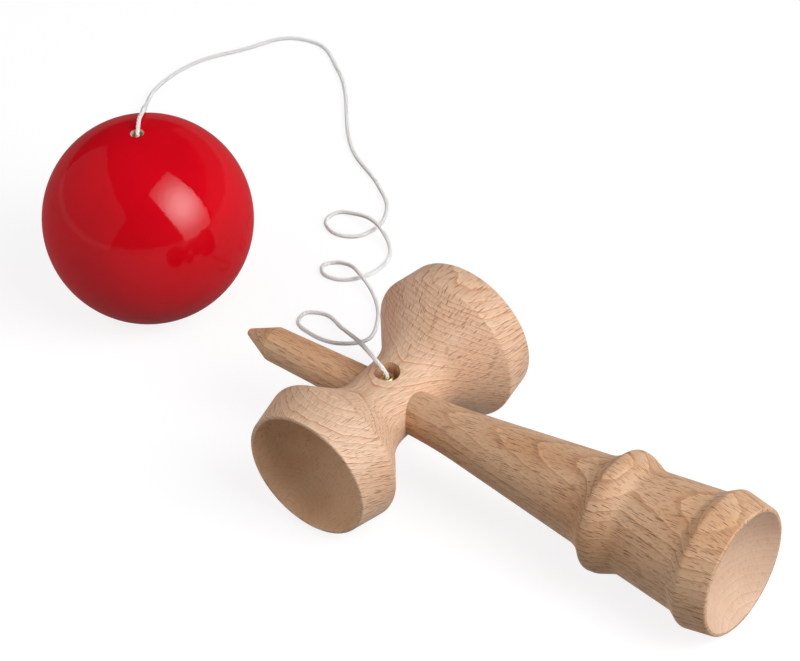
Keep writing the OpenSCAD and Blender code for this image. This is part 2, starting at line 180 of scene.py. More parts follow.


# Beech as a solid block: growth rings round the heart, upright rays, fibres, the lathe's marks and
# painted light towards a spike's tip.
# Place is in mm in the piece's own turned frame, with the grain along Z.
def makeBeechGrain(figure):
    tree = bpy.data.node_groups.new("beechGrain", "ShaderNodeTree")
    given, put = groupSockets(tree, (
        ("Place", "NodeSocketVector", None),
        ("Heart", "NodeSocketVector", (0, 60, 0)),
        ("Lean", "NodeSocketFloat", 0.0),
        ("Ring Width", "NodeSocketFloat", 1.6),
        ("Ring Strength", "NodeSocketFloat", 0.4),
        ("Fleck Strength", "NodeSocketFloat", 0.6),
        ("Fleck Length", "NodeSocketFloat", 5.0),
        ("Ray Heart", "NodeSocketVector", (0, 0, 0)),
        ("Ray Reach", "NodeSocketFloat", 14.0),
        ("Tip Reach", "NodeSocketFloat", 1.0),
        ("Tip Painted Light", "NodeSocketFloat", 0.0),
        ("Pale", "NodeSocketColor", (0.72, 0.5, 0.34, 1)),
        ("Warm", "NodeSocketColor", (0.68, 0.43, 0.28, 1)),
        ("Late", "NodeSocketColor", (0.5, 0.28, 0.16, 1)),
        ("Fleck", "NodeSocketColor", (0.2, 0.1, 0.05, 1)),
    ), (
        ("Colour", "NodeSocketColor"),
        ("Roughness", "NodeSocketFloat"),
        ("Height", "NodeSocketFloat"),
    ))

    def spread(stretch, scale, *more):
        return noise(tree, vectorCalc(tree, "MULTIPLY", place, (1, 1, stretch)), scale, *more)

    onAxis = vectorCalc(tree, "MULTIPLY", given["Place"], (0, 0, 1))
    lathe = noise(tree, onAxis, figure["lathe"], 2.0, 0.6)
    place = addNode(tree, "ShaderNodeVectorRotate",
                    {"Vector": given["Place"], "Angle": given["Lean"]},
                    rotation_type="X_AXIS").outputs[0]

    # year rings: a soft rise to a dark line, stronger in some years and fading in patches
    drift = spread(figure["bendStretch"], figure["drift"], 2.0)
    wobble = spread(figure["bendStretch"], figure["wobble"], 2.0, 0.55)
    away = vectorCalc(tree, "SUBTRACT", place, given["Heart"])
    flat = vectorCalc(tree, "MULTIPLY", away, (1, 1, 0))
    radius = vectorCalc(tree, "LENGTH", flat, result=1)
    bent = swing(tree, drift, figure["driftReach"], radius)
    bent = swing(tree, wobble, figure["wobbleReach"], bent)
    turns = calc(tree, "DIVIDE", bent, given["Ring Width"])
    phase = calc(tree, "FRACT", turns)
    year = addNode(tree, "ShaderNodeTexWhiteNoise", {"W": calc(tree, "FLOOR", turns)},
                   noise_dimensions="1D").outputs[0]
    soft = calc(tree, "MULTIPLY", ramp(tree, phase, *figure["softEdge"]), figure["softShare"])
    dark = calc(tree, "MULTIPLY", ramp(tree, phase, *figure["darkEdge"]), figure["darkShare"])
    late = calc(tree, "ADD", soft, dark)
    late = calc(tree, "MULTIPLY", late, ramp(tree, phase, *figure["yearEnd"]))
    early = calc(tree, "MULTIPLY", ramp(tree, phase, *figure["earlyEdge"]), given["Ring Strength"])
    yearly = calc(tree, "MULTIPLY_ADD", year, 1 - figure["yearLeast"], figure["yearLeast"])
    late = calc(tree, "MULTIPLY", late, yearly)
    fade = spread(figure["patchStretch"], figure["fade"], 2.0)
    faded = ramp(tree, fade, *figure["fadeEdge"], (figure["fadeLeast"], 1.0))
    late = calc(tree, "MULTIPLY", late, faded)

    # rays are thin across, tall along the grain and deep towards their heart;
    # the seam of the angle faces the tree's heart
    inward = vectorCalc(tree, "NORMALIZE", given["Heart"])
    fromRay = vectorCalc(tree, "SUBTRACT", place, given["Ray Heart"])
    fromRay = vectorCalc(tree, "MULTIPLY", fromRay, (1, 1, 0))
    aside = vectorCalc(tree, "CROSS_PRODUCT", inward, fromRay)
    side = vectorCalc(tree, "DOT_PRODUCT", aside, (0, 0, 1), result=1)
    facing = vectorCalc(tree, "DOT_PRODUCT", inward, fromRay, result=1)
    front = calc(tree, "MULTIPLY", facing, -1.0)
    along = addNode(tree, "ShaderNodeSeparateXYZ", {0: place}).outputs[2]
    lessAtTip = calc(tree, "SUBTRACT", given["Tip Reach"], 1.0)
    tipShare = calc(tree, "MULTIPLY_ADD", ramp(tree, along, *figure["tipSpan"]), lessAtTip, 1.0)
    rayReach = calc(tree, "MULTIPLY", given["Ray Reach"], tipShare)
    across = calc(tree, "MULTIPLY", calc(tree, "ARCTAN2", side, front), rayReach)
    sway = spread(figure["patchStretch"], figure["sway"], 1.0)
    across = swing(tree, sway, figure["swayReach"], across)
    deep = vectorCalc(tree, "LENGTH", fromRay, result=1)

    def rays(look):
        tall = calc(tree, "DIVIDE", along, given["Fleck Length"])
        cell = combine(tree, calc(tree, "DIVIDE", across, look["width"]),
                       calc(tree, "DIVIDE", deep, look["depth"]),
                       calc(tree, "MULTIPLY", tall, look["shorter"]))
        spot = addNode(tree, "ShaderNodeTexVoronoi", {"Vector": cell, "Scale": 1.0}, feature="F1")
        odds = addNode(tree, "ShaderNodeSeparateColor", {0: spot.outputs["Color"]}).outputs
        least = 1 - look["shown"]
        shown = ramp(tree, odds[0], least, least + figure["rayFade"])
        tone = calc(tree, "MULTIPLY_ADD", odds[1], 1 - figure["rayLeast"], figure["rayLeast"])
        body = ramp(tree, spot.outputs["Distance"], look["edge"], look["core"])
        return calc(tree, "MULTIPLY", calc(tree, "MULTIPLY", body, shown), tone)

    longRays = rays(figure["longRays"])
    fineRays = rays(figure["fineRays"])
    flecks = calc(tree, "MULTIPLY_ADD", fineRays, figure["fineShare"], longRays, clamp=True)
    wide, thick, tall = figure["fibre"]
    fibrePlace = combine(tree, calc(tree, "DIVIDE", across, wide),
                         calc(tree, "DIVIDE", deep, thick), calc(tree, "DIVIDE", along, tall))
    fibre = noise(tree, fibrePlace, 1.0, 3.0, 0.65)
    cloud = spread(figure["cloudStretch"], figure["cloud"], 2.0)

    colour = mixColour(tree, ramp(tree, cloud, *figure["cloudEdge"]), given["Pale"], given["Warm"])
    lateShare = calc(tree, "MULTIPLY", late, given["Ring Strength"], clamp=True)
    colour = mixColour(tree, lateShare, colour, given["Late"])
    fleckShare = calc(tree, "MULTIPLY", flecks, given["Fleck Strength"], clamp=True)
    colour = mixColour(tree, fleckShare, colour, given["Fleck"])
    tone = swing(tree, fibre, figure["fibreTone"], 1.0)
    tone = calc(tree, "MULTIPLY_ADD", early, figure["earlyTone"], tone)
    tone = swing(tree, lathe, figure["latheTone"], tone)
    # painted light: towards the spike's tip the wood is made paler, standing in for light that
    # reaches the spike
    paintedLightNearTip = ramp(tree, along, *figure["tipLightSpan"])
    tone = calc(tree, "MULTIPLY_ADD", paintedLightNearTip, given["Tip Painted Light"], tone)
    tree.links.new(toned(tree, colour, tone), put["Colour"])
    dull = calc(tree, "MULTIPLY_ADD", fibre, figure["fibreRoughness"], figure["roughness"])
    dull = calc(tree, "MULTIPLY_ADD", flecks, figure["fleckRoughness"], dull, clamp=True)
    tree.links.new(dull, put["Roughness"])
    height = calc(tree, "MULTIPLY", fibre, figure["fibreHeight"])
    height = calc(tree, "MULTIPLY_ADD", flecks, figure["fleckDepth"], height)
    height = calc(tree, "MULTIPLY_ADD", lathe, figure["latheHeight"], height)
    tree.links.new(height, put["Height"])
    return tree


beechGrain = makeBeechGrain(beechFigure)


def newMaterial(name):
    material = bpy.data.materials.new(name)
    material.use_nodes = True
    tree = material.node_tree
    return material, tree, tree.nodes["Principled BSDF"]


def ownPlace(tree, turnedFrame):
    spot = addNode(tree, "ShaderNodeTexCoord").outputs["Object"]
    made = addNode(tree, "ShaderNodeMapping", {
        "Vector": spot,
        "Location": turnedFrame.to_translation() * mm,
        "Rotation": turnedFrame.to_euler("XYZ"),
        "Scale": (mm, mm, mm),
    }, vector_type="TEXTURE")
    return made.outputs[0]


def bumped(tree, height, strength, distance):
    inputs = {"Strength": strength, "Distance": distance, "Height": height}
    return addNode(tree, "ShaderNodeBump", inputs).outputs[0]


def beech(name, turnedFrame, grain, bump=0.35):
    material, tree, shader = newMaterial(name)
    wood = addNode(tree, "ShaderNodeGroup", node_tree=beechGrain)
    tree.links.new(ownPlace(tree, turnedFrame), wood.inputs["Place"])
    for key, value in grain.items():
        wood.inputs[key].default_value = value
    tree.links.new(wood.outputs["Colour"], shader.inputs["Base Color"])
    tree.links.new(wood.outputs["Roughness"], shader.inputs["Roughness"])
    normal = bumped(tree, wood.outputs["Height"], bump, beechFigure["bumpHeight"])
    tree.links.new(normal, shader.inputs["Normal"])
    shader.inputs["Specular IOR Level"].default_value = beechFigure["specular"]
    return material


# the handle's beech, with painted light making the spike paler towards its tip
handleWood = beech("handleBeech", handleFrame, {
    "Heart": (46.7, 0, 0), "Ring Width": 1.9, "Ring Strength": 0.8, "Fleck Strength": 0.92,
    "Fleck Length": 4.2, "Ray Reach": 12.5, "Tip Reach": 0.48, "Tip Painted Light": 0.15,
    "Pale": (0.675, 0.43, 0.267, 1), "Warm": (0.605, 0.343, 0.19, 1),
    "Late": (0.4, 0.18, 0.08, 1), "Fleck": (0.12, 0.025, 0.005, 1),
})
crossWood = beech("crossBeech", crossFrame, {
    "Heart": (-4, 60, 0), "Lean": 0.28, "Ring Width": 1.1, "Ring Strength": 0.95,
    "Fleck Strength": 0.85, "Fleck Length": 6.0, "Ray Reach": 18,
    "Pale": (0.785, 0.542, 0.375, 1), "Warm": (0.74, 0.48, 0.317, 1),
    "Late": (0.6, 0.25, 0.13, 1), "Fleck": (0.18, 0.04, 0.01, 1),
})
handleCupWood = beech("handleCupBeech", handleFrame, {
    "Heart": (46.7, 0, 0), "Ring Width": 1.9, "Ring Strength": 0.35, "Fleck Strength": 0.3,
    "Ray Heart": (46.7, 0, 0), "Ray Reach": 46.7,
    "Pale": (0.67, 0.47, 0.34, 1), "Warm": (0.63, 0.42, 0.29, 1),
    "Late": (0.46, 0.25, 0.15, 1), "Fleck": (0.22, 0.1, 0.05, 1),
})
crossCupWood = beech("crossCupBeech", crossFrame, {
    "Heart": (-25, 55, 0), "Lean": 0.18, "Ring Width": 0.85, "Ring Strength": 0.3,
    "Fleck Strength": 0.35, "Ray Heart": (-25, 55, 0), "Ray Reach": 60,
    "Pale": (0.76, 0.5, 0.31, 1), "Warm": (0.72, 0.44, 0.26, 1),
    "Late": (0.5, 0.25, 0.13, 1), "Fleck": (0.3, 0.13, 0.07, 1),
})
beadWood = beech("beadBeech", ballFrame, {
    "Heart": (40, 20, 0), "Ring Width": 1.4, "Ring Strength": 0.4, "Fleck Strength": 0.5,
    "Pale": (0.7, 0.48, 0.32, 1), "Warm": (0.66, 0.42, 0.27, 1),
    "Late": (0.5, 0.28, 0.16, 1), "Fleck": (0.2, 0.1, 0.05, 1),
})
rawBallWood = beech("ballRawWood", ballFrame, {
    "Heart": (45, -30, 0), "Ring Width": 2.0, "Ring Strength": 0.4, "Fleck Strength": 0.55,
    "Pale": (0.72, 0.5, 0.34, 1), "Warm": (0.68, 0.42, 0.29, 1),
    "Late": (0.5, 0.28, 0.16, 1), "Fleck": (0.2, 0.09, 0.05, 1),
}, bump=0.5)


# Red lacquer: a clear coat over flowing colour, with the faint ripple of a dipped finish
lacquerLook = {
    "red": (0.74, 0.002, 0.011, 1), "deep": (0.66, 0.0015, 0.009, 1),
    "pool": 0.05, "poolEdge": (0.3, 0.7), "grain": 0.6, "grainStretch": 0.2, "grainShare": 0.35,
    "peel": 0.9, "ripple": 0.05, "rippleHeight": 0.0005, "roughness": 0.5,
    "coatWeight": 0.1, "coatRoughness": 0.03, "coatIor": 2.0,
}


def makeLacquer(look):
    material, tree, shader = newMaterial("redLacquer")
    place = ownPlace(tree, ballFrame)
    pool = ramp(tree, noise(tree, place, look["pool"], 3.0), *look["poolEdge"])
    tree.links.new(mixColour(tree, pool, look["red"], look["deep"]), shader.inputs["Base Color"])
    upright = vectorCalc(tree, "MULTIPLY", place, (1, 1, look["grainStretch"]))
    grainUnder = noise(tree, upright, look["grain"], 2.0)
    peel = noise(tree, place, look["peel"], 2.0)
    height = calc(tree, "MULTIPLY_ADD", grainUnder, look["grainShare"], peel)
    normal = bumped(tree, height, look["ripple"], look["rippleHeight"])
    tree.links.new(normal, shader.inputs["Normal"])
    tree.links.new(normal, shader.inputs["Coat Normal"])
    shader.inputs["Roughness"].default_value = look["roughness"]
    shader.inputs["Specular IOR Level"].default_value = 0.0
    shader.inputs["Coat Weight"].default_value = look["coatWeight"]
    shader.inputs["Coat Roughness"].default_value = look["coatRoughness"]
    shader.inputs["Coat IOR"].default_value = look["coatIor"]
    return material


redLacquer = makeLacquer(lacquerLook)


# Rolled brass, duller where it is worn
brassLook = {
    "bright": (0.78, 0.57, 0.24, 1), "worn": (0.5, 0.34, 0.13, 1), "wear": 1.8,
    "wearEdge": (0.35, 0.7), "dullEdge": (0.3, 0.75), "roughness": (0.3, 0.5),
}


def makeBrass(look):
    material, tree, shader = newMaterial("rolledBrass")
    wear = noise(tree, ownPlace(tree, toyFrame), look["wear"], 3.0)
    colour = mixColour(tree, ramp(tree, wear, *look["wearEdge"]), look["bright"], look["worn"])
    tree.links.new(colour, shader.inputs["Base Color"])
    dull = ramp(tree, wear, *look["dullEdge"], look["roughness"])
    tree.links.new(dull, shader.inputs["Roughness"])
    shader.inputs["Metallic"].default_value = 1.0
    return material


rolledBrass = makeBrass(brassLook)


# White cotton with painted shade: paler on the strands that lie over, greyer where they dive under
# and on the core between them
cottonLook = {
    "under": (0.84, 0.83, 0.82, 1), "over": (0.97, 0.965, 0.955, 1), "paintedShadeEdge": (-1.0, 0.6),
    "soil": (0.84, 0.82, 0.79, 1), "soilScale": 70.0, "soilEdge": (0.45, 0.8), "soilMost": 0.2,
    "fluff": 5200.0, "fluffTone": (0.2, 0.9), "bump": 0.4, "bumpHeight": 0.00006,
    "roughness": 0.8, "specular": 0.2, "sheen": 0.25,
}


def makeCotton(look):
    material, tree, shader = newMaterial("whiteCotton")
    shadeLift = addNode(tree, "ShaderNodeAttribute", attribute_name="strandShadeLift").outputs["Fac"]
    place = addNode(tree, "ShaderNodeTexCoord").outputs["Object"]
    fluff = noise(tree, place, look["fluff"], 3.0, 0.7)
    soil = noise(tree, place, look["soilScale"], 2.0)
    # painted shade: greyer where the strands dive under, paler where they lie over
    colour = mixColour(tree, ramp(tree, shadeLift, *look["paintedShadeEdge"]), look["under"], look["over"])
    soiled = ramp(tree, soil, *look["soilEdge"], (0.0, look["soilMost"]))
    colour = mixColour(tree, soiled, colour, look["soil"])
    tone = calc(tree, "MULTIPLY_ADD", fluff, *look["fluffTone"])
    tree.links.new(toned(tree, colour, tone), shader.inputs["Base Color"])
    normal = bumped(tree, fluff, look["bump"], look["bumpHeight"])
    tree.links.new(normal, shader.inputs["Normal"])
    shader.inputs["Roughness"].default_value = look["roughness"]
    shader.inputs["Specular IOR Level"].default_value = look["specular"]
    shader.inputs["Sheen Weight"].default_value = look["sheen"]
    return material


whiteCotton = makeCotton(cottonLook)
print("materials made")


# A smooth line through points in mm: each heading follows the circle through the neighbours
def smoothLine(points, steps=16, lowest=None):
    spots = [Vector(p) for p in points]
    last = len(spots) - 1

    def heading(i):
        back = spots[i] - spots[max(i - 1, 0)]
        on = spots[min(i + 1, last)] - spots[i]
        if i == 0:
            return on.normalized()
        if i == last:
            return back.normalized()
        return (back.normalized() * on.length + on.normalized() * back.length).normalized()

    line = []
    for i in range(last):
        reach = (spots[i + 1] - spots[i]).length
        for k in range(steps):
            u = k / steps
            p = ((1 + 2 * u) * (1 - u) ** 2 * spots[i] + u * (1 - u) ** 2 * reach * heading(i)
                 + u * u * (3 - 2 * u) * spots[i + 1] + u * u * (u - 1) * reach * heading(i + 1))
            line.append(p)
    line.append(spots[last])
    if lowest is not None:
        for p in line:
            p.z = max(p.z, lowest)
    return line


# A braid of round strands that wind both ways round a core, over and under in turn
def makeBraidTree():
    tree = bpy.data.node_groups.new("braidedCord", "GeometryNodeTree")
    given, put = groupSockets(tree, (
        ("Path", "NodeSocketGeometry", None),
        ("Strands Each Way", "NodeSocketInt", 4),
        ("Strand Radius", "NodeSocketFloat", 0.0002),
        ("Braid Radius", "NodeSocketFloat", 0.0004),
        ("Wave", "NodeSocketFloat", 0.0001),
        ("Pitch", "NodeSocketFloat", 0.005),
        ("Step", "NodeSocketFloat", 0.0004),
        ("Sides", "NodeSocketInt", 6),
        ("Finish", "NodeSocketMaterial", None),
    ), (("Cord", "NodeSocketGeometry"),))

    def marked(geometry, lift):
        inputs = {"Geometry": geometry, "Name": "strandShadeLift", "Value": lift}
        return addNode(tree, "GeometryNodeStoreNamedAttribute", inputs,
                       data_type="FLOAT", domain="POINT").outputs[0]

    def tube(curve, sides, radius):
        ring = addNode(tree, "GeometryNodeCurvePrimitiveCircle",
                       {"Resolution": sides, "Radius": radius}).outputs[0]
        inputs = {"Curve": curve, "Profile Curve": ring, "Fill Caps": True}
        return addNode(tree, "GeometryNodeCurveToMesh", inputs).outputs[0]

    each = given["Strands Each Way"]
    curve = addNode(tree, "GeometryNodeMeshToCurve", {0: given["Path"]}).outputs[0]
    fine = addNode(tree, "GeometryNodeResampleCurve", {0: curve, 3: given["Step"]},
                   mode="LENGTH").outputs[0]
    double = calc(tree, "MULTIPLY", each, 2.0)
    copies = addNode(tree, "GeometryNodeDuplicateElements",
                     {"Geometry": fine, "Amount": double}, domain="SPLINE")
    index = copies.outputs["Duplicate Index"]
    way = calc(tree, "MULTIPLY_ADD", calc(tree, "MODULO", index, 2.0), 2.0, -1.0)
    share = calc(tree, "DIVIDE", calc(tree, "FLOOR", calc(tree, "DIVIDE", index, 2.0)), each)
    along = addNode(tree, "GeometryNodeSplineParameter").outputs["Length"]
    wound = calc(tree, "DIVIDE", along, given["Pitch"])
    angle = calc(tree, "MULTIPLY", calc(tree, "MULTIPLY_ADD", wound, way, share), fullTurn)
    crossings = calc(tree, "MULTIPLY", calc(tree, "MULTIPLY", wound, each), fullTurn)
    # how far a strand lies over; it moves the strand and, stored on it, steers the cotton's painted
    # shade
    over = calc(tree, "MULTIPLY", calc(tree, "COSINE", crossings), way)
    reach = calc(tree, "MULTIPLY_ADD", over, given["Wave"], given["Braid Radius"])
    normal = addNode(tree, "GeometryNodeInputNormal").outputs[0]
    tangent = addNode(tree, "GeometryNodeInputTangent").outputs[0]
    side = vectorCalc(tree, "CROSS_PRODUCT", tangent, normal)
    out = scaled(tree, normal, calc(tree, "COSINE", angle))
    aside = scaled(tree, side, calc(tree, "SINE", angle))
    shift = scaled(tree, vectorCalc(tree, "ADD", out, aside), reach)
    moved = addNode(tree, "GeometryNodeSetPosition",
                    {"Geometry": marked(copies.outputs[0], over), "Offset": shift}).outputs[0]
    strands = tube(moved, given["Sides"], given["Strand Radius"])
    # the core takes the lowest value, so the cotton paints it fully shaded
    coreSides, coreShadeLift = 8, -1.0
    core = tube(marked(fine, coreShadeLift), coreSides, given["Braid Radius"])
    joined = addNode(tree, "GeometryNodeJoinGeometry")
    tree.links.new(core, joined.inputs[0])
    tree.links.new(strands, joined.inputs[0])
    smooth = addNode(tree, "GeometryNodeSetShadeSmooth", {0: joined.outputs[0]})
    real = addNode(tree, "GeometryNodeRealizeInstances", {0: smooth.outputs[0]})
    finished = addNode(tree, "GeometryNodeSetMaterial",
                       {"Geometry": real.outputs[0], "Material": given["Finish"]})
    tree.links.new(finished.outputs[0], put["Cord"])
    return tree


braidTree = makeBraidTree()
braid = {
    "Strands Each Way": 4, "Strand Radius": 0.19 * mm, "Braid Radius": 0.39 * mm,
    "Wave": 0.08 * mm, "Pitch": 4.6 * mm, "Step": 0.36 * mm, "Sides": 6, "Finish": whiteCotton,
}


def addPiece(name, mesh, materials=()):
    piece = bpy.data.objects.new(name, mesh)
    for material in materials:
        mesh.materials.append(material)
    bpy.context.scene.collection.objects.link(piece)
    return piece


def braided(name, lines):
    points, edges = [], []
    for line in lines:
        start = len(points)
        points += [p * mm for p in line]
        edges += [(start + i, start + i + 1) for i in range(len(line) - 1)]
    guide = bpy.data.meshes.new(name + "Guide")
    guide.from_pydata(points, edges, [])
    host = addPiece(name + "Guide", guide)
    modifier = host.modifiers.new("braid", "NODES")
    modifier.node_group = braidTree
    for item in braidTree.interface.items_tree:
        if item.in_out == "INPUT" and item.name in braid:
            modifier[item.identifier] = braid[item.name]
    evaluated = host.evaluated_get(bpy.context.evaluated_depsgraph_get())
    mesh = bpy.data.meshes.new_from_object(evaluated)
    mesh.name = name
    bpy.data.objects.remove(host)
    return addPiece(name, mesh)


# The string's route over the table in mm, from the waist hole to the ball
stringRoute = {
    "diameter": 1.5,
    "handleExit": 8.1,
    "ballExit": 28.1,
    "straight": 0.4,
    "points": [
        (7.2, -6.4, 32.3), (5.1, -5.7, 32.8), (1.8, -3.6, 31.7), (-2.4, 0.4, 27.8),
        (-15.4, 12, 17), (-25.5, 21.5, 7.5), (-36, 28, 2), (-46, 31, 0.8),
        (-50, 28.4, 0.8), (-49.4, 24.6, 0.8), (-43, 22.2, 0.8), (-32.5, 24, 0.8),
        (-28, 29, 0.8), (-30.5, 37, 0.8), (-38, 45, 1.8), (-45.5, 48.6, 3.4),
        (-53, 51.9, 1.8), (-57.2, 51.6, 0.8), (-59.4, 48.8, 0.8), (-57.6, 45.8, 0.8),
        (-53, 45.4, 0.8), (-45.4, 53.5, 0.8), (-46.5, 63.5, 0.8), (-54.5, 69.2, 3.4),
        (-66.5, 72, 1.6), (-71.6, 70.4, 0.8), (-72.2, 66, 0.8), (-67.5, 62.4, 0.8),
        (-60, 64.5, 0.8), (-57.5, 72, 0.8), (-60.5, 80, 0.8), (-69.5, 87.5, 0.8),
        (-84.5, 95.5, 0.8), (-117.5, 128, 0.8), (-131.5, 135.5, 0.8), (-141, 133, 0.8),
        (-149, 120.5, 0.8), (-157, 107, 0.8), (-158.5, 89, 1), (-149, 72, 4),
        (-134, 56, 14), (-119, 42.5, 30), (-107.5, 31, 47.4), (-101, 25.4, 54.6),
        (-95.8, 19, 58.5), (-92.85, 14.5, 59.6),
    ],
}
handleExit = toyFrame @ Vector((0, 0, stringRoute["handleExit"]))
handleUp = toyFrame @ Vector((0, 0, stringRoute["handleExit"] + stringRoute["straight"]))
ballExit = ballFrame @ Vector((0, 0, stringRoute["ballExit"]))
ballUp = ballFrame @ Vector((0, 0, stringRoute["ballExit"] + stringRoute["straight"]))
stringLine = smoothLine([handleExit, handleUp] + stringRoute["points"] + [ballUp, ballExit],
                        lowest=stringRoute["diameter"] / 2)
stringLength = sum((b - a).length for a, b in zip(stringLine, stringLine[1:]))
string = braided("stringFree", [stringLine])
print("string braided, %.1f mm" % stringLength)


# The knotted ends: the string goes straight down, and is wound round itself to stop it
knotSizes = {
    "wrap": 1.47, "turns": 1.35, "drop": 1.05, "tail": 2.9, "tuck": 0.6, "tuckShare": 8,
    "handleTop": 8.0, "handleKnot": -7.451, "ballTop": 28.0, "ballKnot": 8.51,
    "steps": 40, "axisSteps": 4,
}


def knotted(name, own, top, knotPlace, sizes):
    heights = (top, (top + knotPlace) / 2, knotPlace, knotPlace - sizes["tail"])
    axis = [own @ Vector((0, 0, z)) for z in heights]
    wrap = []
    for i in range(sizes["steps"] + 1):
        u = i / sizes["steps"]
        a = fullTurn * sizes["turns"] * u
        ends = min(1, u * sizes["tuckShare"], (1 - u) * sizes["tuckShare"])
        r = sizes["tuck"] + (sizes["wrap"] - sizes["tuck"]) * ends
        z = knotPlace + sizes["drop"] * (0.5 - u)
        wrap.append(own @ Vector((r * math.cos(a), r * math.sin(a), z)))
    return braided(name, [smoothLine(axis, sizes["axisSteps"]), wrap])


handleEnd = knotted("stringHandleEnd", toyFrame,
                    knotSizes["handleTop"], knotSizes["handleKnot"], knotSizes)
ballEnd = knotted("stringBallEnd", ballFrame,
                  knotSizes["ballTop"], knotSizes["ballKnot"], knotSizes)
print("knots tied")


# Turned pieces: corners of radius, place and rounding become one smooth outline
sharpAngle = math.radians(32)  # edges keener than this stay crisp
onAxisRadius = 1e-6
samePoint = 1e-5
leastTurn = 1e-4


def roundCorner(a, b, c, r, steps=14):
    a, b, c = Vector(a[:2]), Vector(b[:2]), Vector(c[:2])
    before, after = (a - b).normalized(), (c - b).normalized()
    turn = math.pi - before.angle(after)
    if r <= 0 or turn < leastTurn:
        return [b]
    centre = b + (before + after).normalized() * r / math.cos(turn / 2)
    first = b + before * r * math.tan(turn / 2) - centre
    second = b + after * r * math.tan(turn / 2) - centre
    span = first.angle(second)
    arc = []
    for i in range(steps + 1):
        near, far = math.sin(span * (1 - i / steps)), math.sin(span * i / steps)
        arc.append(centre + (first * near + second * far) / math.sin(span))
    return arc


def outline(corners):
    points = [Vector(corners[0][:2])]
    for a, b, c in zip(corners, corners[1:], corners[2:]):
        points += roundCorner(a, b, c, b[2])
    points.append(Vector(corners[-1][:2]))
    return points


# The ball-shaped hollow of a cup: its radius, and its centre along the axis
def cupSphere(mouthRadius, depth, rimPlace, way):
    radius = (mouthRadius ** 2 + depth ** 2) / (2 * depth)
    return radius, rimPlace - way * depth + way * radius


def hollow(mouthRadius, depth, rimPlace, way, steps=28):
    radius, centre = cupSphere(mouthRadius, depth, rimPlace, way)
    wide = math.asin(mouthRadius / radius)
    angles = [wide * i / steps for i in range(steps + 1)]
    return [(radius * math.sin(a), centre - way * radius * math.cos(a)) for a in angles]


# Picks the second finish for faces on the hollow of a cup
def insideCups(cups, within=0.1):
    spheres = [cupSphere(*cup) for cup in cups]

    def pick(a, b):
        middle = (Vector(a) + Vector(b)) / 2
        return int(any(abs((middle - Vector((0, centre))).length - radius) < within
                       for radius, centre in spheres))
    return pick


def evenly(points, longest):
    line = [Vector(points[0])]
    for p in points[1:]:
        p = Vector(p)
        gap = (p - line[-1]).length
        if gap < samePoint:
            continue
        start, count = line[-1].copy(), max(1, math.ceil(gap / longest))
        line += [start.lerp(p, k / count) for k in range(1, count + 1)]
    return line


def turned(name, points, own, around, materials, closed=False, pick=None):
    verts, faces, slots = [], [], []
    rows = []
    for r, z in points:
        if r < onAxisRadius:
            rows.append([len(verts)])
            verts.append(own @ Vector((0, 0, z)) * mm)
        else:
            rows.append(list(range(len(verts), len(verts) + around)))
            for k in range(around):
                a = fullTurn * k / around
                verts.append(own @ Vector((r * math.cos(a), r * math.sin(a), z)) * mm)
    pairs = list(zip(range(len(rows)), range(1, len(rows))))
    if closed:
        pairs.append((len(rows) - 1, 0))
    for i, j in pairs:
        low, high = rows[i], rows[j]
        for k in range(around):
            n = (k + 1) % around
            if len(low) == 1:
                face = (low[0], high[n], high[k])
            elif len(high) == 1:
                face = (low[k], low[n], high[0])
            else:
                face = (low[k], low[n], high[n], high[k])
            faces.append(face)
            slots.append(pick(points[i], points[j]) if pick else 0)
    mesh = bpy.data.meshes.new(name)
    mesh.from_pydata(verts, [], faces)
    mesh.polygons.foreach_set("material_index", slots)
    mesh.shade_smooth()
    mesh.set_sharp_from_angle(angle=sharpAngle)
    return addPiece(name, mesh, materials)


def drill(piece, cutters):
    for cutter in cutters:
        modifier = piece.modifiers.new("drill", "BOOLEAN")
        modifier.operation = "DIFFERENCE"
        modifier.solver = "MANIFOLD"
        modifier.object = cutter
    evaluated = piece.evaluated_get(bpy.context.evaluated_depsgraph_get())
    mesh = bpy.data.meshes.new_from_object(evaluated)
    piece.modifiers.clear()
    piece.data = mesh
    for cutter in cutters:
        bpy.data.objects.remove(cutter)
    mesh.shade_smooth()
    mesh.set_sharp_from_angle(angle=sharpAngle)


def rodCutter(name, own, reach, lowRadius, highRadius, around):
    points = [(0, -reach), (lowRadius, -reach), (highRadius, reach), (0, reach)]
    return turned(name, points, own, around, ())


# The handle, from the blunt tip to the base cup
handleSizes = {
    "tipReach": 48.5, "tipRound": 1.3, "tipAngle": 24, "tipSteps": 8,
    "spike": 9.8, "spikeEdge": 0.6,
    "corners": [
        (6.3, 18.6, 147), (12.75, 69, 9), (16.95, 73.2, 1.6), (16.7, 75.8, 5), (14.45, 81.1, 5),
        (16.75, 100, 4), (19.1, 103.8, 2), (17.7, 112.4, 0.6),
    ],
    "mouth": 16.7, "baseReach": 112.4, "cupDepth": 7, "mouthEdge": 0.25,
    "around": 180, "longest": 1.4, "stringHole": 1.48, "holeReach": 14, "holeSides": 40,
}


